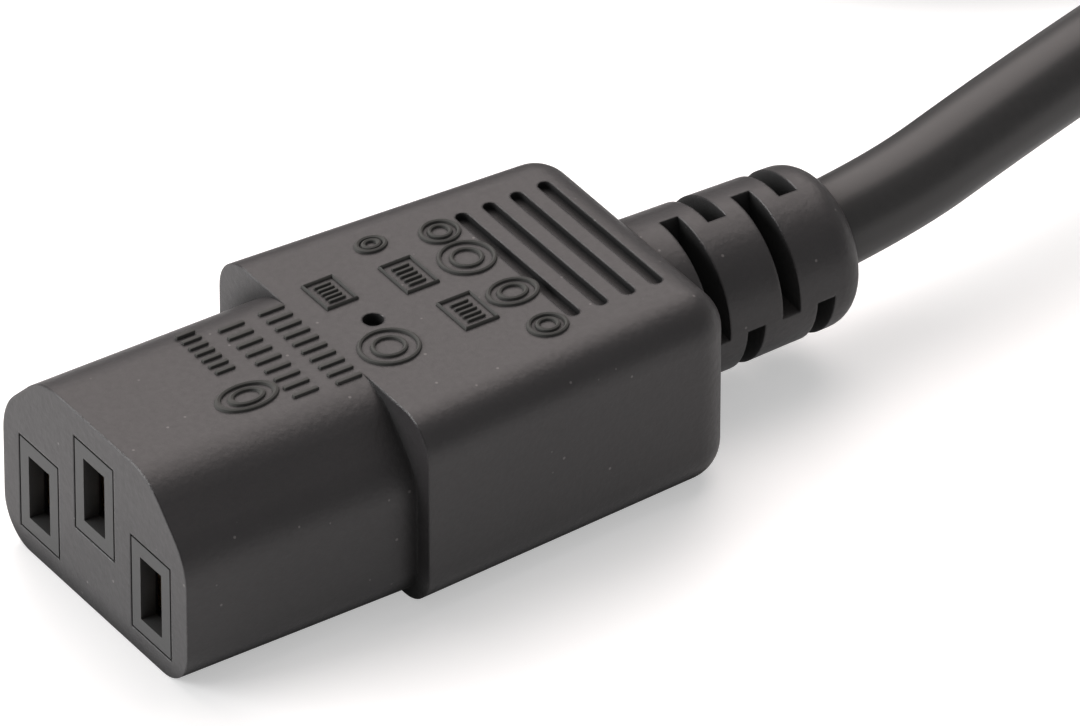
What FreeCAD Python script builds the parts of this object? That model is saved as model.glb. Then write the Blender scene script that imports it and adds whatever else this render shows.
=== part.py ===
"""Splitter power cord: two appliance connectors on two legs moulded into one three-pin plug."""
import FreeCAD, Part
import Sketcher
import math
import os

# Driving sizes, millimetres and degrees. Each name is a cell of the sheet.
SIZES = {
    # Standard three-pole interface shared by the connectors and the plug
    "pole_pitch": 14.0,
    "earth_rise": 4.0,
    "line_height": 5.4,
    # Connector nose
    "nose_width": 23.0,
    "nose_height": 15.34,
    "nose_length": 18.55,
    "nose_corner": 3.15,
    "nose_chamfer": 4.8,
    "nose_edge": 5.0,
    # Connector grip
    "grip_front_width": 26.0,
    "grip_rear_width": 23.1,
    "grip_length": 26.2,
    "grip_round": 3.1,
    # Grip grooves and the ejector dimple on the top face
    "groove_span": 14.5,
    "groove_width": 1.0,
    "groove_depth": 0.55,
    "groove_pitch": 2.27,
    "groove_last": 3.55,
    "dimple_diameter": 1.5,
    "dimple_depth": 0.9,
    "dimple_behind_nose": 4.05,
    # Slotted strain relief
    "relief_length": 15.1,
    "relief_root_diameter": 12.5,
    "relief_end_diameter": 11.75,
    "relief_end_round": 2.2,
    "relief_overlap": 4.0,
    "window_width": 1.5,
    "window_pitch": 2.97,
    "window_first": 2.43,
    "window_angle": 98.0,
    "mouth_length": 4.5,
    "mouth_flare": 0.5,
    # Contact carrier in the nose
    "tower_width": 4.7,
    "tower_height": 7.4,
    "slot_width": 2.62,
    "slot_height": 5.18,
    "slot_wall": 1.2,
    "cell_width": 3.5,
    "cell_height": 5.6,
    "base_start": 12.5,
    "base_length": 6.0,
    "base_rim": 0.4,
    "mould_gap": 0.15,
    # Folded contacts and their crimps
    "strip": 0.4,
    "contact_width": 3.3,
    "contact_height": 5.0,
    "contact_front_gap": 0.4,
    "contact_throat": 1.7,
    "contact_lead": 1.6,
    "crimp_diameter": 3.3,
    "crimp_length": 5.0,
    # Cord and cores
    "cord_diameter": 6.6,
    "core_diameter": 2.4,
    "core_circle": 1.75,
    "core_gap": 0.1,
    "core_lead": 3.0,
    "jacket_gap": 0.1,
    "lead_a": 1.8,
    "lead_b": 3.0,
    "plug_lead_a": 11.0,
    "plug_lead_b": 9.0,
    "jacket_inset": 16.0,
    # Plug
    "mating_gap": 0.65,
    "shroud_wall": 2.0,
    "shroud_depth": 17.2,
    "plug_block_length": 26.0,
    "plug_taper_length": 18.0,
    "plug_tail_length": 17.0,
    "plug_corner": 3.0,
    "leg_pitch": 8.0,
    "tail_height": 11.2,
    "tail_corner": 4.2,
    "tail_overlap": 3.0,
    "tail_window_width": 1.6,
    "tail_window_pitch": 3.2,
    "tail_window_first": 8.8,
    "tail_window_span": 5.0,
    "tail_window_floor": 2.0,
    "pin_width": 2.0,
    "pin_height": 4.0,
    "pin_setback": 2.5,
    "pin_bevel": 0.5,
    "pin_carrier_length": 6.0,
    "pin_carrier_rim": 1.8,
    "lug_width": 3.4,
    "lug_height": 6.4,
    "lug_length": 5.0,
    "lug_hole_pitch": 3.0,
    "lug_hole_depth": 4.0,
    "core_cross": 9.6,
    "plug_jacket_inset": 9.0,
}
WINDOW_ROWS = 4
GROOVE_ROWS = 4
TAIL_WINDOW_ROWS = 2
POLES = ("line", "neutral", "earth")

# Where each pole sits: its share of the pitch across, and its angle round the jacket's axis in degrees.
POLE_SIDES = {"line": -0.5, "neutral": 0.5, "earth": 0.0}
JACKET_ANGLES = {"line": 210.0, "neutral": 330.0, "earth": 90.0}
LEG_SIDES = {"leg_a": -0.5, "leg_b": 0.5}

# The odd rings of windows open up and to the right by this angle, and the even rings are turned on from them.
WINDOW_TURN = -45.0
WINDOW_STAGGER = 97.0
QUARTER_TURN = 90.0
HALF_TURN = 180.0

# Plan of the cords, from connector A's exit: x, y, and the height of the cord's middle above the floor.
LEG_A_ROUTE = [
    (-3.5, 20.1, 10.1), (-8.3, 39.0, 10.3), (-12.1, 57.8, 5.6), (-17.2, 76.7, 3.5),
    (-31.5, 93.4, 3.4), (-51.8, 101.7, 3.4), (-73.6, 99.7, 5.6),
]
LEG_B_ROUTE = [
    (-70.8, 92.0, 7.2), (-52.8, 93.6, 4.2), (-36.1, 86.6, 3.4), (-24.4, 72.8, 3.4),
    (-20.5, 55.1, 3.5), (-25.2, 37.6, 3.4), (-37.4, 24.2, 3.5), (-55.5, 17.6, 4.6),
]
PLUG_TAIL = (-94.1, 76.4)
PLUG_TURN = -30.0
CONNECTOR_B_EXIT = (-77.9, 9.5)
CONNECTOR_B_TURN = -70.0
RUN_SHARE = 0.45

doc = FreeCAD.newDocument("splitter_power_cord")
sheet = doc.addObject("Spreadsheet::Sheet", "sizes")
for row, (name, number) in enumerate(SIZES.items(), 1):
    sheet.set(f"A{row}", name)
    sheet.set(f"B{row}", str(number))
    sheet.setAlias(f"B{row}", name)
doc.recompute()


class Size:
    """A length with its value and the sheet expression that gives it."""

    def __init__(self, value, text):
        self.value = value
        self.text = text

    def join(self, other, sign, value):
        return Size(value, f"({self.text} {sign} {other.text})")

    def __add__(self, other):
        other = as_size(other)
        return self.join(other, "+", self.value + other.value)

    def __sub__(self, other):
        other = as_size(other)
        return self.join(other, "-", self.value - other.value)

    def __mul__(self, other):
        other = as_size(other)
        return self.join(other, "*", self.value * other.value)

    def __truediv__(self, other):
        other = as_size(other)
        return self.join(other, "/", self.value / other.value)

    def __neg__(self):
        return Size(-self.value, f"(-{self.text})")


def as_size(thing):
    return thing if isinstance(thing, Size) else Size(float(thing), str(float(thing)))


class Sheet:
    """The sheet's cells as sizes, read by name."""

    def __getattr__(self, name):
        return Size(float(sheet.get(name)), f"sizes.{name}")


D = Sheet()
ZERO = as_size(0)


def bind(item, prop, length):
    item.setExpression(prop, as_size(length).text)


def bind_place(item, point):
    for axis, length in zip("xyz", point):
        bind(item, f"Placement.Base.{axis}", length)


def box(label, low, high):
    """A block between two corners."""
    item = doc.addObject("Part::Box", label)
    for prop, start, end in zip(("Length", "Width", "Height"), low, high):
        bind(item, prop, as_size(end) - start)
    bind_place(item, low)
    return item


def rod(label, start, radius, length, turn=None):
    """A round bar along +Y from its start point, or along another turned axis."""
    item = doc.addObject("Part::Cylinder", label)
    bind(item, "Radius", radius)
    bind(item, "Height", length)
    item.Placement.Rotation = turn or FreeCAD.Rotation(FreeCAD.Vector(1, 0, 0), -QUARTER_TURN)
    bind_place(item, start)
    return item


def fuse(label, items):
    item = doc.addObject("Part::MultiFuse", label)
    item.Shapes = items
    return item


def cut(label, base, tools):
    """The base less its tools."""
    item = doc.addObject("Part::Cut", label)
    item.Base = base
    item.Tool = tools[0] if len(tools) == 1 else fuse(f"{label}_cutters", tools)
    return item


def new_body(label):
    return doc.addObject("PartDesign::Body", label)


def outline(body, label, role, points, depth=ZERO):
    """A closed straight-sided sketch, its corners held by the sheet, on a plane at a depth on +Y or +Z."""
    sketch = body.newObject("Sketcher::SketchObject", label)
    plane = next(item for item in body.Origin.OriginFeatures if item.Role == role)
    sketch.AttachmentSupport = [(plane, "")]
    sketch.MapMode = "FlatFace"
    bind(sketch, "AttachmentOffset.Base.z", -depth if role == "XZ_Plane" else depth)
    corners = [FreeCAD.Vector(as_size(x).value, as_size(y).value, 0) for x, y in points]
    count = len(corners)
    for index, corner in enumerate(corners):
        sketch.addGeometry(Part.LineSegment(corner, corners[(index + 1) % count]), False)
    for index in range(count):
        sketch.addConstraint(Sketcher.Constraint("Coincident", index, 2, (index + 1) % count, 1))
    for index, point in enumerate(points):
        for kind, length in zip(("DistanceX", "DistanceY"), point):
            length = as_size(length)
            held = sketch.addConstraint(Sketcher.Constraint(kind, -1, 1, index, 1, length.value))
            sketch.setExpression(f"Constraints[{held}]", length.text)
    return sketch


def pad(body, sketch, length):
    """A pad along +Y from an upright sketch, or along +Z from a flat one."""
    feature = body.newObject("PartDesign::Pad", f"{sketch.Label}_pad")
    feature.Profile = sketch
    bind(feature, "Length", length)
    feature.Reversed = sketch.AttachmentSupport[0][0].Role == "XZ_Plane"
    doc.recompute()
    return feature


def soften(body, feature, radius, chosen):
    """A fillet on the feature's edges that the test chooses by their ends."""
    names = []
    for index, edge in enumerate(feature.Shape.Edges, 1):
        ends = [vertex.Point for vertex in edge.Vertexes]
        if chosen(ends):
            names.append(f"Edge{index}")
    rounded = body.newObject("PartDesign::Fillet", f"{feature.Label}_round")
    rounded.Base = (feature, names)
    bind(rounded, "Radius", radius)
    doc.recompute()
    return rounded


def near(first, second):
    return abs(first - second) < 1e-4


def along_y(ends):
    """True for an edge that runs mainly along Y."""
    run = ends[-1] - ends[0]
    return abs(run.y) > abs(run.x) + abs(run.z)


def at_depth(depth):
    """A test for edges that lie wholly at one depth."""
    return lambda ends: all(near(end.y, depth.value) for end in ends)


def arc_points(before, corner, after):
    """Start, middle and end of the tangent arc at a corner, and its radius."""
    inward = (before - corner).normalize()
    onward = (after - corner).normalize()
    turn = math.pi - inward.getAngle(onward)
    reach = RUN_SHARE * min((before - corner).Length, (after - corner).Length)
    radius = reach / math.tan(turn / 2)
    middle = (inward + onward).normalize()
    centre = corner + middle * math.hypot(radius, reach)
    return corner + inward * reach, centre - middle * radius, corner + onward * reach, radius


def tube(label, points, radius):
    """A round tube along straight runs joined by tangent arcs; its radii and length are printed."""
    points = [FreeCAD.Vector(*point) for point in points]
    edges = []
    radii = []
    start = points[0]
    for before, corner, after in zip(points, points[1:], points[2:]):
        first, middle, last, bend = arc_points(before, corner, after)
        edges.append(Part.LineSegment(start, first).toShape())
        edges.append(Part.Arc(first, middle, last).toShape())
        radii.append(bend)
        start = last
    edges.append(Part.LineSegment(start, points[-1]).toShape())
    path = Part.Wire(edges)
    ring = Part.Wire(Part.Circle(points[0], points[1] - points[0], radius).toShape())
    solid = path.makePipeShell([ring], True, False)
    item = doc.addObject("Part::Feature", label)
    item.Shape = solid
    share = solid.Volume / (math.pi * radius ** 2 * path.Length)
    bends = ", ".join(f"{bend:.0f}" for bend in radii)
    print(f"{label}: length {path.Length:.1f}, volume share {share:.4f}, radii {bends}")
    return item


def name_node(item, label, place):
    item.Label = label
    item.Placement = place.multiply(item.Placement)
    NODES.append(item)


NODES = []
relief_axis = D.nose_height / 2
body_length = D.nose_length + D.grip_length
connector_length = body_length + D.relief_length
base_end = D.base_start + D.base_length
crimp_end = base_end + D.crimp_length
jacket_start = connector_length - D.jacket_inset


def pole_place(pole):
    """Middle of a pole's slot across and above the connector's underside."""
    rise = D.earth_rise if pole == "earth" else ZERO
    return D.pole_pitch * POLE_SIDES[pole], D.line_height + rise


def jacket_place(pole, axis_x, axis_z, flip=False):
    """Middle of a pole's core inside a jacket, as three cores lie round its axis."""
    angle = math.radians(JACKET_ANGLES[pole])
    reach = -D.core_circle if flip else D.core_circle
    return axis_x + D.core_circle * math.cos(angle), axis_z + reach * math.sin(angle)


def nose_outline(grow):
    """The polarised nose section, grown all round."""
    half = D.nose_width / 2 + grow
    low = -grow
    high = D.nose_height + grow
    slope = D.nose_chamfer + grow * (2.0 - math.sqrt(2.0))
    return [(-half, low), (half, low), (half, high - slope), (half - slope, high),
            (-half + slope, high), (-half, high - slope)]


def block_outline(width, low, high):
    return [(-width / 2, low), (width / 2, low), (width / 2, high), (-width / 2, high)]


def connector_form(name):
    """Nose, grip and strain relief as one solid."""
    nose = new_body(f"{name}_nose")
    section = outline(nose, f"{name}_nose_section", "XZ_Plane", nose_outline(ZERO))
    feature = pad(nose, section, body_length / 2)
    feature = soften(nose, feature, D.nose_corner,
                     lambda ends: along_y(ends) and all(near(end.z, 0) for end in ends))
    soften(nose, feature, D.nose_edge,
           lambda ends: along_y(ends) and all(end.z > relief_axis.value for end in ends))
    grip = new_body(f"{name}_grip")
    front = D.grip_front_width / 2
    rear = D.grip_rear_width / 2
    plan = outline(grip, f"{name}_grip_plan", "XY_Plane", [
        (-front, D.nose_length), (front, D.nose_length), (rear, body_length), (-rear, body_length)])
    behind = at_depth(body_length)
    soften(grip, pad(grip, plan, D.nose_height), D.grip_round,
           lambda ends: along_y(ends) or behind(ends))
    relief = new_body(f"{name}_relief")
    root = D.relief_root_diameter / 2
    tip = D.relief_end_diameter / 2
    section = outline(relief, f"{name}_relief_section", "XY_Plane",
                      [(ZERO, body_length - D.relief_overlap), (root, body_length - D.relief_overlap),
                       (root, body_length), (tip, connector_length), (ZERO, connector_length)], relief_axis)
    turned = relief.newObject("PartDesign::Revolution", f"{name}_relief_turn")
    turned.Profile = section
    turned.ReferenceAxis = (section, ["V_Axis"])
    turned.Angle = 360
    doc.recompute()
    soften(relief, turned, D.relief_end_round, at_depth(connector_length))
    return fuse(f"{name}_form", [nose, grip, relief])


def carrier_form(name, grow):
    """The carrier's three towers and base, grown all round, without its slots."""
    blocks = []
    half_width = D.tower_width / 2 + grow
    half_height = D.tower_height / 2 + grow
    for pole in POLES:
        x, z = pole_place(pole)
        blocks.append(box(f"{name}_{pole}_tower", (x - half_width, ZERO, z - half_height),
                          (x + half_width, base_end + grow, z + half_height)))
    x, z = pole_place("neutral")
    wide = x + D.tower_width / 2 + D.base_rim + grow
    tall = D.tower_height / 2 + D.base_rim + grow
    blocks.append(box(f"{name}_base", (-wide, D.base_start - grow, z - tall),
                      (wide, base_end + grow, z + tall)))
    return fuse(f"{name}_blocks", blocks)


def core_points(pole):
    """Route of a core from its crimp to the end of the jacket."""
    x, z = pole_place(pole)
    jacket_x, jacket_z = jacket_place(pole, ZERO, relief_axis)
    route = [(x, base_end + D.strip, z), (x, crimp_end + D.core_lead, z),
             (jacket_x, jacket_start - D.core_lead, jacket_z), (jacket_x, jacket_start, jacket_z)]
    return [tuple(length.value for length in point) for point in route]


def wedge(label, front, rear, depths):
    """A block that tapers along +Y between two upright rectangles, each given by its x and z limits."""
    item = doc.addObject("Part::Wedge", label)
    limits = {"Ymin": depths[0], "Ymax": depths[1], "Xmin": front[0], "Xmax": front[1], "Zmin": front[2],
              "Zmax": front[3], "X2min": rear[0], "X2max": rear[1], "Z2min": rear[2], "Z2max": rear[3]}
    for prop, length in limits.items():
        setattr(item, prop, length.value)
        bind(item, prop, length)
    doc.recompute()
    return item


def core_space(name):
    """Room round the crimps, and from them in to the jacket, that the cores run through."""
    spare = D.crimp_diameter / 2 + D.mould_gap
    side, low = pole_place("neutral")
    high = pole_place("earth")[1] + spare
    jacket = D.cord_diameter / 2
    turn_in = crimp_end + D.core_lead
    room = box(f"{name}_crimp_room", (-side - spare, base_end, low - spare), (side + spare, turn_in, high))
    funnel = wedge(f"{name}_core_funnel", (-side - spare, side + spare, low - spare, high),
                   (-jacket, jacket, relief_axis - jacket, relief_axis + jacket), (turn_in, jacket_start))
    return [room, funnel]


def window_cutters(name):
    """Pairs of wedges that open the strain relief on the cord, each ring turned a quarter from the last."""
    openings = []
    for ring in range(WINDOW_ROWS):
        for half in range(2):
            opening = doc.addObject("Part::Cylinder", f"{name}_window_{ring}_{half}")
            bind(opening, "Radius", D.relief_root_diameter)
            bind(opening, "Height", D.window_width)
            bind(opening, "Angle", D.window_angle)
            middle = WINDOW_TURN + WINDOW_STAGGER * (ring % 2) + HALF_TURN * half
            start = middle - D.window_angle.value / 2
            spin = FreeCAD.Rotation(FreeCAD.Vector(0, 0, 1), start)
            lay = FreeCAD.Rotation(FreeCAD.Vector(1, 0, 0), -QUARTER_TURN)
            opening.Placement.Rotation = lay.multiply(spin)
            depth = body_length + D.window_first + D.window_pitch * ring - D.window_width / 2
            bind_place(opening, (ZERO, depth, relief_axis))
            openings.append(opening)
    return openings


def groove_cutters(name):
    """Round-ended finger grooves across the top of the grip, and the ejector dimple."""
    cutters = []
    upright = FreeCAD.Rotation()
    floor = D.nose_height - D.groove_depth
    radius = D.groove_width / 2
    reach = D.groove_span / 2 - radius
    for line in range(GROOVE_ROWS):
        depth = body_length - D.groove_last - D.groove_pitch * line
        cutters.append(box(f"{name}_groove_{line}", (-reach, depth - radius, floor),
                           (reach, depth + radius, floor + D.groove_width)))
        for side, end in (("left", -reach), ("right", reach)):
            cutters.append(rod(f"{name}_groove_{line}_{side}", (end, depth, floor), radius,
                               D.groove_width, upright))
    cutters.append(rod(f"{name}_dimple", (ZERO, D.nose_length + D.dimple_behind_nose,
                                          D.nose_height - D.dimple_depth),
                       D.dimple_diameter / 2, D.dimple_depth * 2, upright))
    return cutters


def connector_overmould(name, place):
    cutters = [carrier_form(f"{name}_hollow", D.mould_gap)]
    cutters += core_space(name)
    bore = D.cord_diameter / 2 + D.jacket_gap
    cutters.append(rod(f"{name}_bore", (ZERO, jacket_start, relief_axis), bore, D.jacket_inset * 2))
    mouth = doc.addObject("Part::Cone", f"{name}_mouth")
    bind(mouth, "Radius1", bore)
    bind(mouth, "Radius2", bore + D.mouth_flare)
    bind(mouth, "Height", D.mouth_length)
    mouth.Placement.Rotation = FreeCAD.Rotation(FreeCAD.Vector(1, 0, 0), -QUARTER_TURN)
    bind_place(mouth, (ZERO, connector_length - D.mouth_length, relief_axis))
    cutters.append(mouth)
    cutters += window_cutters(name) + groove_cutters(name)
    name_node(cut(f"{name}_moulding", connector_form(name), cutters), f"{name}_overmould", place)


def connector_carrier(name, place):
    cutters = []
    for pole in POLES:
        x, z = pole_place(pole)
        cutters.append(box(f"{name}_{pole}_slot",
                           (x - D.slot_width / 2, -D.slot_wall, z - D.slot_height / 2),
                           (x + D.slot_width / 2, D.slot_wall * 2, z + D.slot_height / 2)))
        cutters.append(box(f"{name}_{pole}_cell", (x - D.cell_width / 2, D.slot_wall, z - D.cell_height / 2),
                           (x + D.cell_width / 2, base_end * 2, z + D.cell_height / 2)))
    carrier = cut(f"{name}_carrier_cut", carrier_form(f"{name}_carrier", ZERO), cutters)
    name_node(carrier, f"{name}_carrier", place)


def connector_contact(name, pole, place):
    """A folded strip with two leaves that pinch the pin, and a crimp behind."""
    x, z = pole_place(pole)
    front = D.slot_wall + D.contact_front_gap
    half = D.contact_width / 2
    throat = D.contact_throat / 2
    inner = half - D.strip
    bend = (front + base_end) / 2 - D.contact_lead
    body = new_body(f"{name}_{pole}_leaves")
    section = outline(body, f"{name}_{pole}_leaf_section", "XY_Plane", [
        (x - half, base_end), (x - half, bend), (x - throat - D.strip, front + D.contact_lead),
        (x - half, front), (x - inner, front), (x - throat, front + D.contact_lead), (x - inner, bend),
        (x - inner, base_end - D.strip), (x + inner, base_end - D.strip), (x + inner, bend),
        (x + throat, front + D.contact_lead), (x + inner, front), (x + half, front),
        (x + throat + D.strip, front + D.contact_lead), (x + half, bend), (x + half, base_end),
    ], z - D.contact_height / 2)
    pad(body, section, D.contact_height)
    sleeve = rod(f"{name}_{pole}_sleeve", (x, base_end, z), D.crimp_diameter / 2, D.crimp_length)
    whole = fuse(f"{name}_{pole}_strip", [body, sleeve])
    bore = rod(f"{name}_{pole}_crimp_bore", (x, base_end + D.strip - D.core_gap, z),
               D.core_diameter / 2 + D.core_gap, D.crimp_length * 2)
    name_node(cut(f"{name}_{pole}_crimped", whole, [bore]), f"{name}_{pole}_contact", place)


def connector(name, place):
    connector_overmould(name, place)
    connector_carrier(name, place)
    for pole in POLES:
        connector_contact(name, pole, place)
        core = tube(f"{name}_{pole}_wire", core_points(pole), D.core_diameter.value / 2)
        name_node(core, f"{name}_{pole}_core", place)


plug_axis = D.nose_height / 2 + D.mating_gap + D.shroud_wall
plug_height = plug_axis * 2
plug_width = D.nose_width + (D.mating_gap + D.shroud_wall) * 2
plug_tail_start = D.plug_block_length + D.plug_taper_length
plug_length = plug_tail_start + D.plug_tail_length
tail_width = D.leg_pitch + D.tail_height
pin_carrier_end = D.shroud_depth + D.pin_carrier_length
lug_end = pin_carrier_end + D.lug_length
plug_jacket_start = plug_length - D.plug_jacket_inset


def plug_pole(pole):
    """Middle of a pin across the plug and above its underside."""
    x, z = pole_place(pole)
    return x, z + D.mating_gap + D.shroud_wall


def lug_holes(pole):
    """Middles of the two core holes in a pin's lug, for leg A and leg B."""
    x, z = plug_pole(pole)
    shift = D.lug_hole_pitch / 2
    if pole == "earth":
        return {"leg_a": (x - shift, z), "leg_b": (x + shift, z)}
    return {"leg_a": (x, z + shift), "leg_b": (x, z - shift)}


def plug_core_points(pole, leg):
    """Route of a core tail from its lug to the end of a leg's jacket."""
    x, z = lug_holes(pole)[leg]
    crossed = {"line": "earth", "earth": "line"} if leg == "leg_b" else {}
    jacket_x, jacket_z = jacket_place(crossed.get(pole, pole), D.leg_pitch * LEG_SIDES[leg], plug_axis,
                                      leg == "leg_b")
    crossing = plug_jacket_start - D.core_cross
    lead_end = crossing if pole == "earth" else lug_end + D.core_lead
    route = [(x, lug_end - D.lug_hole_depth, z), (x, lead_end, z)]
    if leg == "leg_b" and pole == "line":
        route.append((jacket_x - D.core_diameter, crossing + D.core_lead, z))
    route += [(jacket_x, plug_jacket_start - D.core_lead, jacket_z), (jacket_x, plug_jacket_start, jacket_z)]
    return [tuple(length.value for length in point) for point in route]


def plug_form():
    """Shroud block, taper and flat tail as one solid, before its hollows."""
    block = new_body("plug_block")
    rise = D.mating_gap + D.shroud_wall
    lifted = [(x, z + rise) for x, z in nose_outline(rise)]
    feature = pad(block, outline(block, "plug_block_section", "XZ_Plane", lifted), D.plug_block_length)
    soften(block, feature, D.plug_corner, along_y)
    front_x = plug_width / 2 - D.plug_corner
    front_z = plug_height / 2 - D.plug_corner / 2
    rear_x = tail_width / 2
    rear_z = D.tail_height / 2
    taper = wedge("plug_taper_blank", (-front_x, front_x, plug_axis - front_z, plug_axis + front_z),
                  (-rear_x, rear_x, plug_axis - rear_z, plug_axis + rear_z),
                  (D.plug_block_length - D.tail_overlap, plug_tail_start))
    smooth = doc.addObject("Part::Fillet", "plug_taper")
    smooth.Base = taper
    smooth.Edges = [(index, D.plug_corner.value, D.plug_corner.value)
                    for index, edge in enumerate(taper.Shape.Edges, 1)
                    if along_y([vertex.Point for vertex in edge.Vertexes])]
    tail = new_body("plug_tail")
    tail_limits = block_outline(tail_width, plug_axis - rear_z, plug_axis + rear_z)
    section = outline(tail, "plug_tail_section", "XZ_Plane", tail_limits, plug_tail_start - D.tail_overlap)
    feature = pad(tail, section, D.plug_tail_length + D.tail_overlap)
    soften(tail, feature, D.tail_corner, along_y)
    return fuse("plug_form", [block, smooth, tail])


def pin_carrier_form(label, grow):
    """The block behind the shroud that holds the pins, grown all round."""
    rim = D.pin_carrier_rim - grow
    rise = D.mating_gap + D.shroud_wall
    return box(label, (-D.nose_width / 2 + rim, D.shroud_depth - grow, rise + rim),
               (D.nose_width / 2 - rim, pin_carrier_end + grow, rise + D.nose_height - rim))


def lug_block(label, pole, grow):
    x, z = plug_pole(pole)
    wide, tall = D.lug_width / 2 + grow, D.lug_height / 2 + grow
    if pole == "earth":
        wide, tall = tall, wide
    return box(label, (x - wide, pin_carrier_end, z - tall), (x + wide, lug_end + grow, z + tall))


def plug_overmould(place):
    rise = D.mating_gap + D.shroud_wall
    hollow = new_body("plug_shroud_hollow")
    inner = [(x, z + rise) for x, z in nose_outline(D.mating_gap)]
    feature = pad(hollow, outline(hollow, "plug_hollow_section", "XZ_Plane", inner), D.shroud_depth)
    soften(hollow, feature, D.nose_corner,
           lambda ends: along_y(ends) and all(end.z < plug_axis.value / 2 for end in ends))
    cutters = [hollow, pin_carrier_form("plug_carrier_hollow", D.mould_gap)]
    for pole in POLES:
        cutters.append(lug_block(f"plug_{pole}_lug_hollow", pole, D.mould_gap))
        for leg in LEG_SIDES:
            cutters.append(tube(f"plug_{pole}_{leg}_hollow", plug_core_points(pole, leg),
                                D.core_diameter.value / 2 + D.core_gap.value))
    for leg, side in LEG_SIDES.items():
        cutters.append(rod(f"plug_{leg}_bore", (D.leg_pitch * side, plug_jacket_start, plug_axis),
                           D.cord_diameter / 2 + D.jacket_gap, D.plug_jacket_inset * 2))
        mouth = doc.addObject("Part::Cone", f"plug_{leg}_mouth")
        bind(mouth, "Radius1", D.cord_diameter / 2 + D.jacket_gap)
        bind(mouth, "Radius2", D.cord_diameter / 2 + D.jacket_gap + D.mouth_flare)
        bind(mouth, "Height", D.mouth_length)
        mouth.Placement.Rotation = FreeCAD.Rotation(FreeCAD.Vector(1, 0, 0), -QUARTER_TURN)
        bind_place(mouth, (D.leg_pitch * side, plug_length - D.mouth_length, plug_axis))
        cutters.append(mouth)
        for line in range(TAIL_WINDOW_ROWS):
            for face in (-1, 1):
                depth = plug_tail_start + D.tail_window_first + D.tail_window_pitch * line
                inside = plug_axis + D.tail_window_floor * face
                outside = plug_axis + D.tail_height * face
                low, high = (inside, outside) if face > 0 else (outside, inside)
                middle = D.leg_pitch * side
                cutters.append(box(f"plug_{leg}_window_{line}_{face + 1}",
                                   (middle - D.tail_window_span / 2, depth, low),
                                   (middle + D.tail_window_span / 2, depth + D.tail_window_width, high)))
    name_node(cut("plug_moulding", plug_form(), cutters), "plug_overmould", place)


def plug_pin(pole, place):
    """A bevelled blade with a lug behind the carrier for a core of each leg."""
    x, z = plug_pole(pole)
    body = new_body(f"plug_{pole}_blade")
    half = D.pin_width / 2
    slim = half - D.pin_bevel
    section = outline(body, f"plug_{pole}_blade_plan", "XY_Plane", [
        (x - half, pin_carrier_end), (x - half, D.pin_setback + D.pin_bevel * 2),
        (x - slim, D.pin_setback), (x + slim, D.pin_setback),
        (x + half, D.pin_setback + D.pin_bevel * 2), (x + half, pin_carrier_end),
    ], z - D.pin_height / 2)
    pad(body, section, D.pin_height)
    whole = fuse(f"plug_{pole}_blank", [body, lug_block(f"plug_{pole}_lug", pole, ZERO)])
    holes = [rod(f"plug_{pole}_{leg}_hole", (hole[0], lug_end - D.lug_hole_depth - D.core_gap, hole[1]),
                 D.core_diameter / 2 + D.core_gap, D.lug_length * 2)
             for leg, hole in lug_holes(pole).items()]
    name_node(cut(f"plug_{pole}_drilled", whole, holes), f"plug_{pole}_pin", place)


def plug(place):
    plug_overmould(place)
    holes = []
    for pole in POLES:
        x, z = plug_pole(pole)
        wide = D.pin_width / 2 + D.core_gap
        tall = D.pin_height / 2 + D.core_gap
        holes.append(box(f"plug_{pole}_pin_hole", (x - wide, ZERO, z - tall),
                         (x + wide, plug_length, z + tall)))
    carrier = cut("plug_carrier_cut", pin_carrier_form("plug_carrier_block", ZERO), holes)
    name_node(carrier, "plug_pin_carrier", place)
    for pole in POLES:
        plug_pin(pole, place)
        for leg in LEG_SIDES:
            core = tube(f"plug_{pole}_{leg}_wire", plug_core_points(pole, leg), D.core_diameter.value / 2)
            name_node(core, f"plug_{pole}_core_{leg}", place)


def seat(exit_point, turn, length):
    """Placement that puts a moulding's end at a point of the floor, turned about the upright."""
    spin = FreeCAD.Rotation(FreeCAD.Vector(0, 0, 1), turn)
    back = spin.multVec(FreeCAD.Vector(0, length.value, 0))
    return FreeCAD.Placement(FreeCAD.Vector(*exit_point, 0) - back, spin)


def within(place, x, y, z):
    """A point of a moulding's own frame, as it lies on the floor."""
    point = place.multVec(FreeCAD.Vector(x.value, y.value, z.value))
    return point.x, point.y, point.z


exit_y = connector_length.value / 2
place_a = seat((0, exit_y), 0, connector_length)
place_b = seat((CONNECTOR_B_EXIT[0], CONNECTOR_B_EXIT[1] + exit_y), CONNECTOR_B_TURN, connector_length)
place_plug = seat((PLUG_TAIL[0], PLUG_TAIL[1] + exit_y), PLUG_TURN, plug_length)
connector("connector_a", place_a)
connector("connector_b", place_b)
plug(place_plug)


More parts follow.
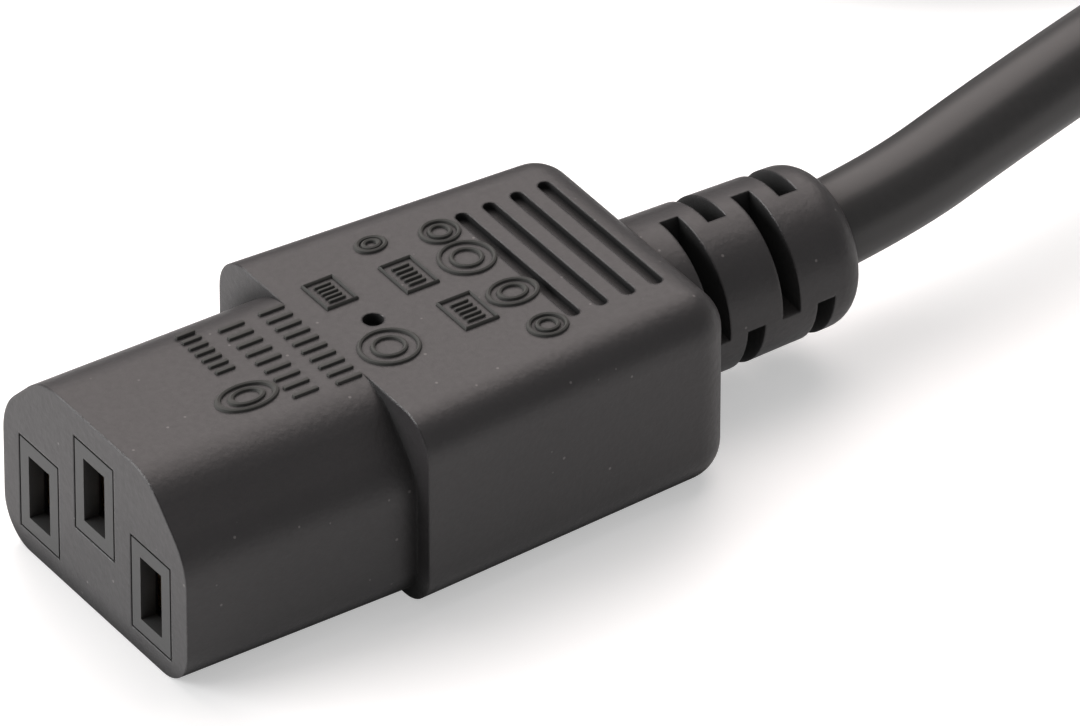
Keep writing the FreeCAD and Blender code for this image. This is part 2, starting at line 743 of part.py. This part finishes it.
def legs():
    """The two jacketed cords, each from the plug's tail to its connector."""
    shifted_a = [(x, y + exit_y, z) for x, y, z in LEG_A_ROUTE]
    shifted_b = [(x, y + exit_y, z) for x, y, z in LEG_B_ROUTE]
    tail_a = D.leg_pitch * LEG_SIDES["leg_a"]
    tail_b = D.leg_pitch * LEG_SIDES["leg_b"]
    route_a = [within(place_a, ZERO, jacket_start, relief_axis),
               within(place_a, ZERO, connector_length + D.lead_a, relief_axis)]
    route_a += shifted_a
    route_a += [within(place_plug, tail_a, plug_length + D.plug_lead_a, plug_axis),
                within(place_plug, tail_a, plug_jacket_start, plug_axis)]
    route_b = [within(place_plug, tail_b, plug_jacket_start, plug_axis),
               within(place_plug, tail_b, plug_length + D.plug_lead_b, plug_axis)]
    route_b += shifted_b
    route_b += [within(place_b, ZERO, connector_length + D.lead_b, relief_axis),
                within(place_b, ZERO, jacket_start, relief_axis)]
    for label, route in (("leg_a_cord", route_a), ("leg_b_cord", route_b)):
        cord = tube(label, route, D.cord_diameter.value / 2)
        name_node(cord, label, FreeCAD.Placement())


legs()
doc.recompute()

for item in doc.Objects:
    if "Invalid" in item.State or "Error" in item.State:
        raise RuntimeError(f"{item.Label} did not build: {item.State}")
for item in NODES:
    if item.Shape.isNull() or not item.Shape.isValid() or len(item.Shape.Solids) != 1:
        raise RuntimeError(f"{item.Label} is not one valid solid: it has {len(item.Shape.Solids)}")

os.makedirs("parts", exist_ok=True)
for item in NODES:
    item.Shape.exportStep(f"parts/{item.Label}.step")
    limits = item.Shape.BoundBox
    print(f"{item.Label}: volume {item.Shape.Volume:.1f}, z {limits.ZMin:.2f} to {limits.ZMax:.2f}")
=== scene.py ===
"""Looks of a black moulded splitter power cord, laid out as an add-on and run as a script."""

import math

import bpy
from mathutils import Matrix, Vector


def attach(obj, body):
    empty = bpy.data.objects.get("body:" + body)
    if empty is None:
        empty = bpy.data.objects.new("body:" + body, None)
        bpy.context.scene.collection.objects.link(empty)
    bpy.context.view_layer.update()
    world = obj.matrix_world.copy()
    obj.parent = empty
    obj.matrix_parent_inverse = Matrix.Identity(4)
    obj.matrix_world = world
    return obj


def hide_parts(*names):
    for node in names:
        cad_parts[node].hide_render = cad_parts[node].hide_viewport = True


bl_info = {
    "name": "Splitter power cord looks",
    "version": (1, 0, 0),
    "blender": (4, 5, 0),
    "location": "View3D > Sidebar > Power Cord",
    "description": "Dresses a splitter power cord: mouldings, contacts, cords and a studio stage",
    "category": "Object",
}

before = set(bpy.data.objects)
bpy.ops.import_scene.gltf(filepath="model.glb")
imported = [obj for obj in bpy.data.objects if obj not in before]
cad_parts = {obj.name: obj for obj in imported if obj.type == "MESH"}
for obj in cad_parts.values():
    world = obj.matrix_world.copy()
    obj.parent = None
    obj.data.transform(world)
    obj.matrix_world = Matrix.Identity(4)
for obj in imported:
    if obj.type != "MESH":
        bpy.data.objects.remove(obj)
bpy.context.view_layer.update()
MM = 0.001
BODY = "root"
POLES = ("line", "neutral", "earth")
CONNECTORS = ("connector_a", "connector_b")

# Route of each leg's middle line, millimetres, from one moulding's bore to the other's. Leg B's bend lies up to
# 3.5 mm further in than its CAD tube, so that its shadow stays out of the photograph's view.
LEG_A_ROUTE = [
    (0.0, 13.925, 7.67), (0.0, 31.725, 7.67), (-3.5, 50.025, 10.1), (-8.3, 68.925, 10.3), (-12.1, 87.725, 5.6),
    (-17.2, 106.625, 3.5), (-31.5, 123.325, 3.4), (-51.8, 131.625, 3.4), (-73.6, 129.625, 5.6),
    (-92.064, 117.851, 10.32), (-102.064, 100.531, 10.32),
]
LEG_B_ROUTE = [
    (-95.136, 96.531, 10.32), (-86.136, 112.119, 10.32), (-70.8, 121.925, 7.2), (-52.8, 123.525, 4.2),
    (-37.0, 116.9, 3.4), (-26.9, 103.2, 3.4), (-24.0, 85.5, 3.5), (-28.2, 67.8, 3.4),
    (-39.0, 54.6, 3.5), (-55.5, 47.525, 4.6), (-75.081, 40.451, 7.67), (-92.935, 33.953, 7.67),
]

# Where connector B lies: its cord end, and its turn about the upright from connector A, in degrees.
CONNECTOR_B_END = (-77.9, 39.425, 0.0)
CONNECTOR_B_TURN = -70.0

# Plain raised moulding marks on a connector's top, millimetres. A ring or frame has its x, its y from the socket
# face, and its half sizes across and along; a row of bars has its first and last x, its y, its count and the
# bars' half length.
RINGS = [
    (2.82, 10.52, 1.35, 2.2), (3.31, 21.73, 1.95, 2.1), (-7.45, 27.33, 0.8, 1.05), (-6.12, 32.11, 1.25, 1.35),
    (-2.51, 31.93, 1.85, 1.95), (2.58, 32.29, 1.4, 1.8), (7.14, 32.1, 1.2, 1.35),
]
FRAMES = [(-4.25, 21.87, 1.55, 1.2), (-3.03, 27.52, 1.75, 1.25), (2.75, 28.5, 1.75, 1.3)]
BARS = [(-5.6, -0.6, 11.0, 7, 0.75), (-4.6, 4.6, 14.1, 9, 1.0), (-4.7, 4.9, 17.4, 10, 1.0)]
INNER = 0.55  # size of a ring's inner ring, and of a frame's ribs, as a share of the outer one
RIBS = (-0.6, -0.3, 0.0, 0.3, 0.6)  # places of a frame's ribs, as shares of its half width
LINE_RADIUS = 0.16
LINE_RISE = 1.4  # height of a raised line as a share of its width
BAR_HALF_WIDTH = 0.17
RIB_HALF_WIDTH = 0.1
BAR_HALF_HEIGHT = 0.2
BAR_EDGE = 0.06
RING_SIDES = 40
FRAME_SIDES = 4
FACE_Y = -29.925
TOP_Z = 15.34

# Pattern sizes, millimetres. Real mould and die grit is near 0.05 and would not show, so it is drawn coarser.
FLOW_MARKS = 7.0
DUST_SPACING = 1.8
MOULD_GRIT = 0.45
CARRIER_GRIT = 0.5
JACKET_GRIT = 0.6
CORE_GRIT = 1.0
ROLL_LINES = (0.3, 4.0, 0.3)
MOULD_PIT_DEPTH = 0.05
PLASTIC_PIT_DEPTH = 0.03
EDGE_RADIUS = 0.3
# Painted shade reaches this far into corners and narrow slots.
CORNER_REACH = 3.0

# Finish values. A dust speck's radii are shares of its spacing; an edge shows where the rounded normal turns.
DUST_RADII = (0.04, 0.075)
DUST_COVER = 0.5
EDGE_COSINES = (0.97, 0.85)
# Painted shade: at or below the first openness a corner takes the full shade colour and roughness, above the second
# none.
CORNER_OPENNESS = (0.45, 0.8)
MOULD_ROUGHNESS = (0.34, 0.52)
RUBBED_ROUGHNESS = 0.22
CARRIER_ROUGHNESS = 0.5
JACKET_ROUGHNESS = 0.37
CORE_ROUGHNESS = 0.4
CONTACT_ROUGHNESS = 0.35
PIN_ROUGHNESS = 0.28
CORNER_SHADE_ROUGHNESS = 1.0
MOULD_PIT_STRENGTH = 0.6
PLASTIC_PIT_STRENGTH = 0.2
TONE_SHARES = (0.85, 1.15)
PLASTIC_SPREAD = 0.06
METAL_SPREAD = 0.08
PLASTIC_IOR = 1.53
BRASS = "#b08a52"
NICKEL = "#c9c6bf"
INSULATION = {"line": "#6b3d22", "neutral": "#2c4f9e", "earth": "#6f9a2c"}

# Camera of the photograph: a long lens, given in the frame's own axes.
CAMERA_AZIMUTH = 56.009
CAMERA_ELEVATION = 35.403
CAMERA_ROLL = 0.119
CAMERA_PLACE = (741.8, -493.825, 642.2)
CAMERA_LENS = 532.9
SENSOR_WIDTH = 36.0

# Stage: lamps' places and sizes in metres, and the floor's finish.
KEY_PLACE = (-0.44, 0.3, 0.77)
KEY_SIZE = (1.0, 1.1)
KEY_TINT = "#fff4f1"
FILL_PLACE = (-0.45, -0.8, 0.4)
FILL_SIZE = (0.7, 0.5)
FILL_TINT = "#ffffff"
FLOOR_SIZE = 40.0
FLOOR_PAINT = "#ebebeb"
FLOOR_SHEEN = 0.3
FLOOR_ROUGHNESS = 0.5
FLOOR_LIFT = 0.43
LIFT_IN_REFLECTIONS = 0.45  # share of the floor's lift that reflections see


class CordSizes(bpy.types.PropertyGroup):
    """Sizes of the legs."""
    diameter: bpy.props.FloatProperty(
        name="Diameter", description="Outside diameter of the round jacket", default=6.6 * MM,
        unit="LENGTH", precision=4)
    length: bpy.props.FloatProperty(
        name="Length", description="Length of each leg, bore to bore", default=0.2015, unit="LENGTH")


class FinishColours(bpy.types.PropertyGroup):
    """Colours of the finishes, as written on a screen."""
    moulding: bpy.props.StringProperty(
        name="Moulding", description="Soft PVC of the mouldings", default="#353334")
    moulding_shade: bpy.props.StringProperty(
        name="Moulding shade", description="Darker flow marks in the mouldings", default="#2b292a")
    # Painted shade: the dark colour that corners and narrow slots are mixed towards.
    corner_shade: bpy.props.StringProperty(
        name="Corner", description="Dark film in the mouldings' corners", default="#0c0c0c")
    dust: bpy.props.StringProperty(name="Dust", description="Pale specks on the mouldings", default="#858180")
    carrier: bpy.props.StringProperty(name="Carrier", description="Hard contact carrier", default="#3a3a3a")
    jacket: bpy.props.StringProperty(name="Jacket", description="Cord jacket", default="#2f2e2e")


class StudioLevels(bpy.types.PropertyGroup):
    """Levels of the studio light."""
    key_power: bpy.props.FloatProperty(
        name="Key", description="Power of the softbox behind and above", default=7.4, unit="POWER")
    fill_power: bpy.props.FloatProperty(
        name="Fill", description="Power of the wide light before the socket face", default=8.6, unit="POWER")
    sky: bpy.props.FloatProperty(name="Sky", description="Strength of the even light all round", default=0.3)


def in_metres(point):
    """A place or size given in millimetres, in metres."""
    return [length * MM for length in point]


def linear(code):
    """Linear colour of an sRGB hex value."""
    channels = [int(code[place:place + 2], 16) / 255 for place in (1, 3, 5)]
    return [c / 12.92 if c <= 0.04045 else ((c + 0.055) / 1.055) ** 2.4 for c in channels] + [1.0]


def add_node(tree, kind, links=None, **settings):
    """Adds a node, sets its properties and sockets, and links named inputs to other nodes' outputs."""
    node = tree.nodes.new(kind)
    for name, value in settings.items():
        if hasattr(node, name):
            setattr(node, name, value)
        else:
            node.inputs[name].default_value = value
    for name, output in (links or {}).items():
        tree.links.new(output, node.inputs[name])
    return node


def map_range(tree, value, old=(0.0, 1.0), new=(0.0, 1.0)):
    """Maps a value from one range to another; a bound is a number or another node's output."""
    node = add_node(tree, "ShaderNodeMapRange", {"Value": value})
    for name, bound in zip(("From Min", "From Max", "To Min", "To Max"), (*old, *new)):
        if isinstance(bound, bpy.types.NodeSocket):
            tree.links.new(bound, node.inputs[name])
        else:
            node.inputs[name].default_value = bound
    return node.outputs["Result"]


def mix_colour(tree, share, low, high):
    """Mixes two colours; each is a list or another node's output."""
    node = add_node(tree, "ShaderNodeMix", {"Factor": share}, data_type="RGBA")
    for name, colour in (("A", low), ("B", high)):
        if isinstance(colour, bpy.types.NodeSocket):
            tree.links.new(colour, node.inputs[name])
        else:
            node.inputs[name].default_value = colour
    return node.outputs["Result"]


def new_material(name):
    """An empty node material and its tree."""
    material = bpy.data.materials.new(name)
    material.use_nodes = True
    material.node_tree.nodes.clear()
    return material, material.node_tree


def per_metre(millimetres):
    """Texture scale whose pattern repeats about every so many millimetres."""
    return 1.0 / (millimetres * MM)


def shade_corners(tree, colour, roughness, painted_shade):
    """Colour and roughness with painted shade in corners and in slots about as narrow as CORNER_REACH: darker and
    duller there.
    """
    corner_shade = add_node(tree, "ShaderNodeAmbientOcclusion", samples=6, Distance=CORNER_REACH * MM)
    # Painted shade: the less open a spot is, the more its colour goes to the shade colour.
    openness = map_range(tree, corner_shade.outputs["AO"], old=CORNER_OPENNESS)
    shaded = mix_colour(tree, openness, linear(painted_shade), colour)
    dulled = map_range(tree, openness, new=(CORNER_SHADE_ROUGHNESS, roughness))
    return shaded, dulled


def moulded_pvc(colours):
    """Soft PVC moulded in a spark-eroded tool.

    Its fine pits spread the light into an even grey sheen. Rubbed edges shine a little, corners are darkened by
    painted shade, and pale dust sticks to the soft skin.
    """
    material, tree = new_material("moulded_pvc")
    place = add_node(tree, "ShaderNodeTexCoord").outputs["Object"]
    flow = add_node(tree, "ShaderNodeTexNoise", {"Vector": place},
                    Scale=per_metre(FLOW_MARKS), Detail=8.0, Roughness=0.65)
    grit = add_node(tree, "ShaderNodeTexNoise", {"Vector": place}, Scale=per_metre(MOULD_GRIT), Detail=4.0)
    specks = add_node(tree, "ShaderNodeTexVoronoi", {"Vector": place}, Scale=per_metre(DUST_SPACING), feature="F1")
    tone = mix_colour(tree, flow.outputs["Fac"], linear(colours.moulding_shade), linear(colours.moulding))
    dots = map_range(tree, specks.outputs["Distance"], old=DUST_RADII, new=(DUST_COVER, 0.0))
    dusty = mix_colour(tree, dots, tone, linear(colours.dust))
    rounded = add_node(tree, "ShaderNodeBevel", samples=4, Radius=EDGE_RADIUS * MM)
    face = add_node(tree, "ShaderNodeNewGeometry")
    turned = add_node(tree, "ShaderNodeVectorMath", {0: rounded.outputs["Normal"], 1: face.outputs["Normal"]},
                      operation="DOT_PRODUCT")
    edge = map_range(tree, turned.outputs["Value"], old=EDGE_COSINES)
    matte = map_range(tree, grit.outputs["Fac"], new=MOULD_ROUGHNESS)
    rubbed = map_range(tree, edge, new=(matte, RUBBED_ROUGHNESS))
    pits = add_node(tree, "ShaderNodeBump", {"Height": grit.outputs["Fac"], "Normal": rounded.outputs["Normal"]},
                    Strength=MOULD_PIT_STRENGTH, Distance=MOULD_PIT_DEPTH * MM)
    # Corners and narrow slots get painted shade: a darker colour and a higher roughness.
    shaded, dulled = shade_corners(tree, dusty, rubbed, colours.corner_shade)
    shader = add_node(tree, "ShaderNodeBsdfPrincipled",
                      {"Base Color": shaded, "Roughness": dulled, "Normal": pits.outputs["Normal"]}, IOR=PLASTIC_IOR)
    add_node(tree, "ShaderNodeOutputMaterial", {"Surface": shader.outputs["BSDF"]})
    return material


def plain_plastic(name, colour, roughness, grain, painted_shade):
    """A moulded or extruded plastic: its fine grain shows a little in colour, gloss and height."""
    material, tree = new_material(name)
    place = add_node(tree, "ShaderNodeTexCoord").outputs["Object"]
    grit = add_node(tree, "ShaderNodeTexNoise", {"Vector": place}, Scale=per_metre(grain), Detail=3.0)
    red, green, blue, _ = linear(colour)
    darker, lighter = ([red * share, green * share, blue * share, 1.0] for share in TONE_SHARES)
    tone = mix_colour(tree, grit.outputs["Fac"], darker, lighter)
    gloss = map_range(tree, grit.outputs["Fac"], new=(roughness - PLASTIC_SPREAD, roughness + PLASTIC_SPREAD))
    pits = add_node(tree, "ShaderNodeBump", {"Height": grit.outputs["Fac"]},
                    Strength=PLASTIC_PIT_STRENGTH, Distance=PLASTIC_PIT_DEPTH * MM)
    # Corners and narrow slots get painted shade: a darker colour and a higher roughness.
    shaded, dulled = shade_corners(tree, tone, gloss, painted_shade)
    shader = add_node(tree, "ShaderNodeBsdfPrincipled",
                      {"Base Color": shaded, "Roughness": dulled, "Normal": pits.outputs["Normal"]}, IOR=PLASTIC_IOR)
    add_node(tree, "ShaderNodeOutputMaterial", {"Surface": shader.outputs["BSDF"]})
    return material


def rolled_metal(name, colour, roughness):
    """Rolled metal: fine lines along the strip draw its highlights out lengthwise."""
    material, tree = new_material(name)
    place = add_node(tree, "ShaderNodeTexCoord").outputs["Object"]
    stretch = add_node(tree, "ShaderNodeMapping", {"Vector": place}, Scale=[per_metre(size) for size in ROLL_LINES])
    lines = add_node(tree, "ShaderNodeTexNoise", {"Vector": stretch.outputs["Vector"]}, Scale=1.0, Detail=3.0)
    gloss = map_range(tree, lines.outputs["Fac"], new=(roughness - METAL_SPREAD, roughness + METAL_SPREAD))
    shader = add_node(tree, "ShaderNodeBsdfPrincipled", {"Roughness": gloss}, Metallic=1.0)
    shader.inputs["Base Color"].default_value = linear(colour)
    add_node(tree, "ShaderNodeOutputMaterial", {"Surface": shader.outputs["BSDF"]})
    return material


def dress(names, material):
    """Gives CAD nodes a finish."""
    for name in names:
        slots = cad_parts[name].data.materials
        slots.clear()
        slots.append(material)


class DressMouldings(bpy.types.Operator):
    """Finish the moulded bodies and their carriers"""
    bl_idname = "power_cord.dress_mouldings"
    bl_label = "Mouldings"

    def execute(self, context):
        colours = context.scene.finish_colours
        dress([f"{name}_overmould" for name in (*CONNECTORS, "plug")], moulded_pvc(colours))
        # Nylon from a fine mould: hard and even, a little greyer than the soft PVC round it.
        carrier = plain_plastic("moulded_nylon", colours.carrier, CARRIER_ROUGHNESS, CARRIER_GRIT, colours.corner_shade)
        dress([*(f"{name}_carrier" for name in CONNECTORS), "plug_pin_carrier"], carrier)
        return {"FINISHED"}


class DressMetal(bpy.types.Operator):
    """Finish the contacts, pins and core tails"""
    bl_idname = "power_cord.dress_metal"
    bl_label = "Contacts and cores"

    def execute(self, context):
        # Bare brass strip gives a warm glint deep in the slots.
        dress([f"{name}_{pole}_contact" for name in CONNECTORS for pole in POLES],
              rolled_metal("rolled_brass", BRASS, CONTACT_ROUGHNESS))
        # Nickel plate on brass is paler and brighter, with the rolling lines still showing.
        dress([f"plug_{pole}_pin" for pole in POLES],
              rolled_metal("nickel_plated_brass", NICKEL, PIN_ROUGHNESS))
        # Thin extruded PVC in the colour of its pole, with a satin gloss.
        # The cores' corners get the same painted shade as the mouldings.
        painted_shade = context.scene.finish_colours.corner_shade
        for pole, colour in INSULATION.items():
            dress([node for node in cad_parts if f"_{pole}_core" in node],
                  plain_plastic(f"extruded_pvc_{pole}", colour, CORE_ROUGHNESS, CORE_GRIT, painted_shade))
        return {"FINISHED"}


def add_ring(x, y, half_x, half_y, sides):
    """A raised line round an oval or, with four sides, round a rectangle, half sunk in the top."""
    place = in_metres((x, y + FACE_Y, TOP_Z))
    corner_reach, turn = (math.sqrt(2.0), math.pi / 4) if sides == FRAME_SIDES else (1.0, 0.0)
    bpy.ops.mesh.primitive_torus_add(
        major_segments=sides, minor_segments=8, major_radius=half_x * MM * corner_reach,
        minor_radius=LINE_RADIUS * MM, location=place, rotation=(0, 0, turn))
    bpy.ops.object.mode_set(mode="EDIT")
    bpy.ops.mesh.select_all(action="SELECT")
    bpy.ops.transform.resize(value=(1, half_y / half_x, LINE_RISE), center_override=place)
    bpy.ops.object.mode_set(mode="OBJECT")
    return bpy.context.object


def add_bar(x, y, half_x, half_y):
    """A short raised bar with soft edges, half sunk in the top."""
    place = in_metres((x, y + FACE_Y, TOP_Z))
    bpy.ops.mesh.primitive_cube_add(size=2 * MM, location=place)
    bpy.ops.object.mode_set(mode="EDIT")
    bpy.ops.mesh.select_all(action="SELECT")
    bpy.ops.transform.resize(value=(half_x, half_y, BAR_HALF_HEIGHT), center_override=place)
    bpy.ops.mesh.bevel(offset=BAR_EDGE * MM, segments=2)
    bpy.ops.object.mode_set(mode="OBJECT")
    return bpy.context.object


class RaiseMarks(bpy.types.Operator):
    """Raise plain rings, frames and bars on the top of each connector"""
    bl_idname = "power_cord.raise_marks"
    bl_label = "Raised marks"

    def execute(self, context):
        bpy.ops.object.select_all(action="DESELECT")
        pieces = [add_ring(*ring, RING_SIDES) for ring in RINGS]
        pieces += [add_ring(*border, FRAME_SIDES) for border in FRAMES]
        for start, stop, y, count, half_y in BARS:
            step = (stop - start) / (count - 1)
            pieces += [add_bar(start + step * turn, y, BAR_HALF_WIDTH, half_y) for turn in range(count)]
        for x, y, half_x, half_y in RINGS:
            pieces.append(add_ring(x, y, half_x * INNER, half_y * INNER, RING_SIDES))
        for x, y, half_x, half_y in FRAMES:
            pieces += [add_bar(x + half_x * shift, y, RIB_HALF_WIDTH, half_y * INNER) for shift in RIBS]
        bpy.ops.object.select_all(action="DESELECT")
        for piece in pieces:
            piece.select_set(True)
        context.view_layer.objects.active = pieces[0]
        bpy.ops.object.join()
        bpy.ops.object.transform_apply(location=True, rotation=True, scale=True)
        marks = context.object
        marks.name = "connector_a_marks"
        marks.data.materials.append(bpy.data.materials["moulded_pvc"])
        bpy.ops.object.shade_smooth_by_angle(angle=math.radians(40))
        copy = marks.copy()
        copy.data = marks.data.copy()
        copy.name = "connector_b_marks"
        context.scene.collection.objects.link(copy)
        copy.data.transform(
            Matrix.Translation(in_metres(CONNECTOR_B_END)) @ Matrix.Rotation(math.radians(CONNECTOR_B_TURN), 4, "Z")
            @ Matrix.Translation((0, FACE_Y * MM, 0)))
        for piece in (marks, copy):
            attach(piece, BODY)
        return {"FINISHED"}


def lay_cord(name, route, diameter, material):
    """A round cord on a smooth spline whose control points are the route."""
    curve = bpy.data.curves.new(name, "CURVE")
    curve.dimensions = "3D"
    curve.bevel_depth = diameter / 2
    curve.bevel_resolution = 8
    curve.resolution_u = 16
    curve.use_fill_caps = True
    spline = curve.splines.new("NURBS")
    spline.points.add(len(route) - 1)
    for point, place in zip(spline.points, route):
        point.co = in_metres(place) + [1.0]
    spline.order_u = 3
    spline.use_endpoint_u = True
    curve.materials.append(material)
    cord = bpy.data.objects.new(name, curve)
    bpy.context.scene.collection.objects.link(cord)
    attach(cord, BODY)
    return cord


class LayLegs(bpy.types.Operator):
    """Lay both legs on the floor"""
    bl_idname = "power_cord.lay_legs"
    bl_label = "Legs"

    def execute(self, context):
        sizes = context.scene.cord_sizes
        colours = context.scene.finish_colours
        # PVC drawn through a smooth die: glossier than the mouldings, so a band of light runs along the cord.
        jacket = plain_plastic("extruded_pvc", colours.jacket, JACKET_ROUGHNESS, JACKET_GRIT, colours.corner_shade)
        leg_a = lay_cord("leg_a", LEG_A_ROUTE, sizes.diameter, jacket)
        leg_b = lay_cord("leg_b", LEG_B_ROUTE, sizes.diameter, jacket)
        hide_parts("leg_a_cord")
        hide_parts("leg_b_cord")
        return {"FINISHED"}


def area_light(name, place, size, power, colour):
    """A soft rectangular lamp aimed at the frame's origin, which the camera doesn't see."""
    lamp = bpy.data.lights.new(name, "AREA")
    lamp.color = linear(colour)[:3]
    lamp.shape = "RECTANGLE"
    lamp.size, lamp.size_y = size
    lamp.energy = power
    holder = bpy.data.objects.new(name, lamp)
    holder.location = place
    holder.rotation_mode = "QUATERNION"
    holder.rotation_quaternion = (-Vector(place)).to_track_quat("-Z", "Y")
    holder.visible_camera = False
    bpy.context.scene.collection.objects.link(holder)


def floor_material():
    """Painted board: white to the eye and to reflections, with a dull sheen, and it keeps the shadow."""
    material, tree = new_material("painted_board")
    path = add_node(tree, "ShaderNodeLightPath")
    seen = add_node(tree, "ShaderNodeMath", {0: path.outputs["Is Glossy Ray"], 2: path.outputs["Is Camera Ray"]},
                    operation="MULTIPLY_ADD")
    seen.inputs[1].default_value = LIFT_IN_REFLECTIONS
    lift = add_node(tree, "ShaderNodeMath", {0: seen.outputs["Value"]}, operation="MULTIPLY")
    lift.inputs[1].default_value = FLOOR_LIFT
    glow = add_node(tree, "ShaderNodeEmission", {"Strength": lift.outputs["Value"]})
    paint = add_node(tree, "ShaderNodeBsdfDiffuse")
    paint.inputs["Color"].default_value = linear(FLOOR_PAINT)
    sheen = add_node(tree, "ShaderNodeBsdfGlossy", Roughness=FLOOR_ROUGHNESS)
    surface = add_node(tree, "ShaderNodeMixShader", {1: paint.outputs["BSDF"], 2: sheen.outputs["BSDF"]})
    surface.inputs[0].default_value = FLOOR_SHEEN
    both = add_node(tree, "ShaderNodeAddShader", {0: surface.outputs["Shader"], 1: glow.outputs["Emission"]})
    add_node(tree, "ShaderNodeOutputMaterial", {"Surface": both.outputs["Shader"]})
    return material


class SetStage(bpy.types.Operator):
    """Make the floor, the lights and the camera"""
    bl_idname = "power_cord.set_stage"
    bl_label = "Stage"

    def execute(self, context):
        scene = context.scene
        levels = scene.studio_levels
        bpy.ops.object.select_all(action="DESELECT")
        bpy.ops.mesh.primitive_plane_add(size=FLOOR_SIZE, location=(0, 0, 0))
        floor = context.object
        floor.name = "floor"
        floor.data.materials.append(floor_material())
        world = bpy.data.worlds.new("studio_sky")
        scene.world = world
        world.use_nodes = True
        sky = world.node_tree.nodes["Background"]
        sky.inputs["Color"].default_value = (1.0, 1.0, 1.0, 1.0)
        sky.inputs["Strength"].default_value = levels.sky
        area_light("key", KEY_PLACE, KEY_SIZE, levels.key_power, KEY_TINT)
        area_light("fill", FILL_PLACE, FILL_SIZE, levels.fill_power, FILL_TINT)
        self.aim_camera(scene)
        scene.view_settings.view_transform = "Standard"
        return {"FINISHED"}

    def aim_camera(self, scene):
        azimuth = math.radians(CAMERA_AZIMUTH)
        elevation = math.radians(CAMERA_ELEVATION)
        back = Vector((math.sin(azimuth) * math.cos(elevation), -math.cos(azimuth) * math.cos(elevation),
                       math.sin(elevation)))
        right = Vector((math.cos(azimuth), math.sin(azimuth), 0))
        upward = back.cross(right)
        roll = math.radians(CAMERA_ROLL)
        right = right * math.cos(roll) + upward * math.sin(roll)
        upward = back.cross(right)
        turn = Matrix((right, upward, back)).transposed().to_quaternion()
        lens = bpy.data.cameras.new("photo_camera")
        lens.lens = CAMERA_LENS
        lens.sensor_width = SENSOR_WIDTH
        lens.clip_start = 0.05
        lens.clip_end = 100.0
        camera = bpy.data.objects.new("photo_camera", lens)
        camera.location = in_metres(CAMERA_PLACE)
        camera.rotation_mode = "QUATERNION"
        camera.rotation_quaternion = turn
        scene.collection.objects.link(camera)
        scene.camera = camera


class CordPanel(bpy.types.Panel):
    """Steps that dress the power cord"""
    bl_idname = "VIEW3D_PT_power_cord"
    bl_label = "Power Cord"
    bl_space_type = "VIEW_3D"
    bl_region_type = "UI"
    bl_category = "Power Cord"

    def draw(self, context):
        for step in STEPS:
            self.layout.operator(step.bl_idname)


STEPS = (DressMouldings, DressMetal, RaiseMarks, LayLegs, SetStage)
GROUPS = {"cord_sizes": CordSizes, "finish_colours": FinishColours, "studio_levels": StudioLevels}


def register():
    for group in (*GROUPS.values(), *STEPS, CordPanel):
        bpy.utils.register_class(group)
    for name, group in GROUPS.items():
        setattr(bpy.types.Scene, name, bpy.props.PointerProperty(type=group))


def unregister():
    for name in GROUPS:
        delattr(bpy.types.Scene, name)
    for group in (CordPanel, *reversed(STEPS), *reversed(GROUPS.values())):
        bpy.utils.unregister_class(group)


def main():
    register()
    bpy.ops.power_cord.dress_mouldings()
    bpy.ops.power_cord.dress_metal()
    bpy.ops.power_cord.raise_marks()
    bpy.ops.power_cord.lay_legs()
    bpy.ops.power_cord.set_stage()


if __name__ == "__main__":
    main()
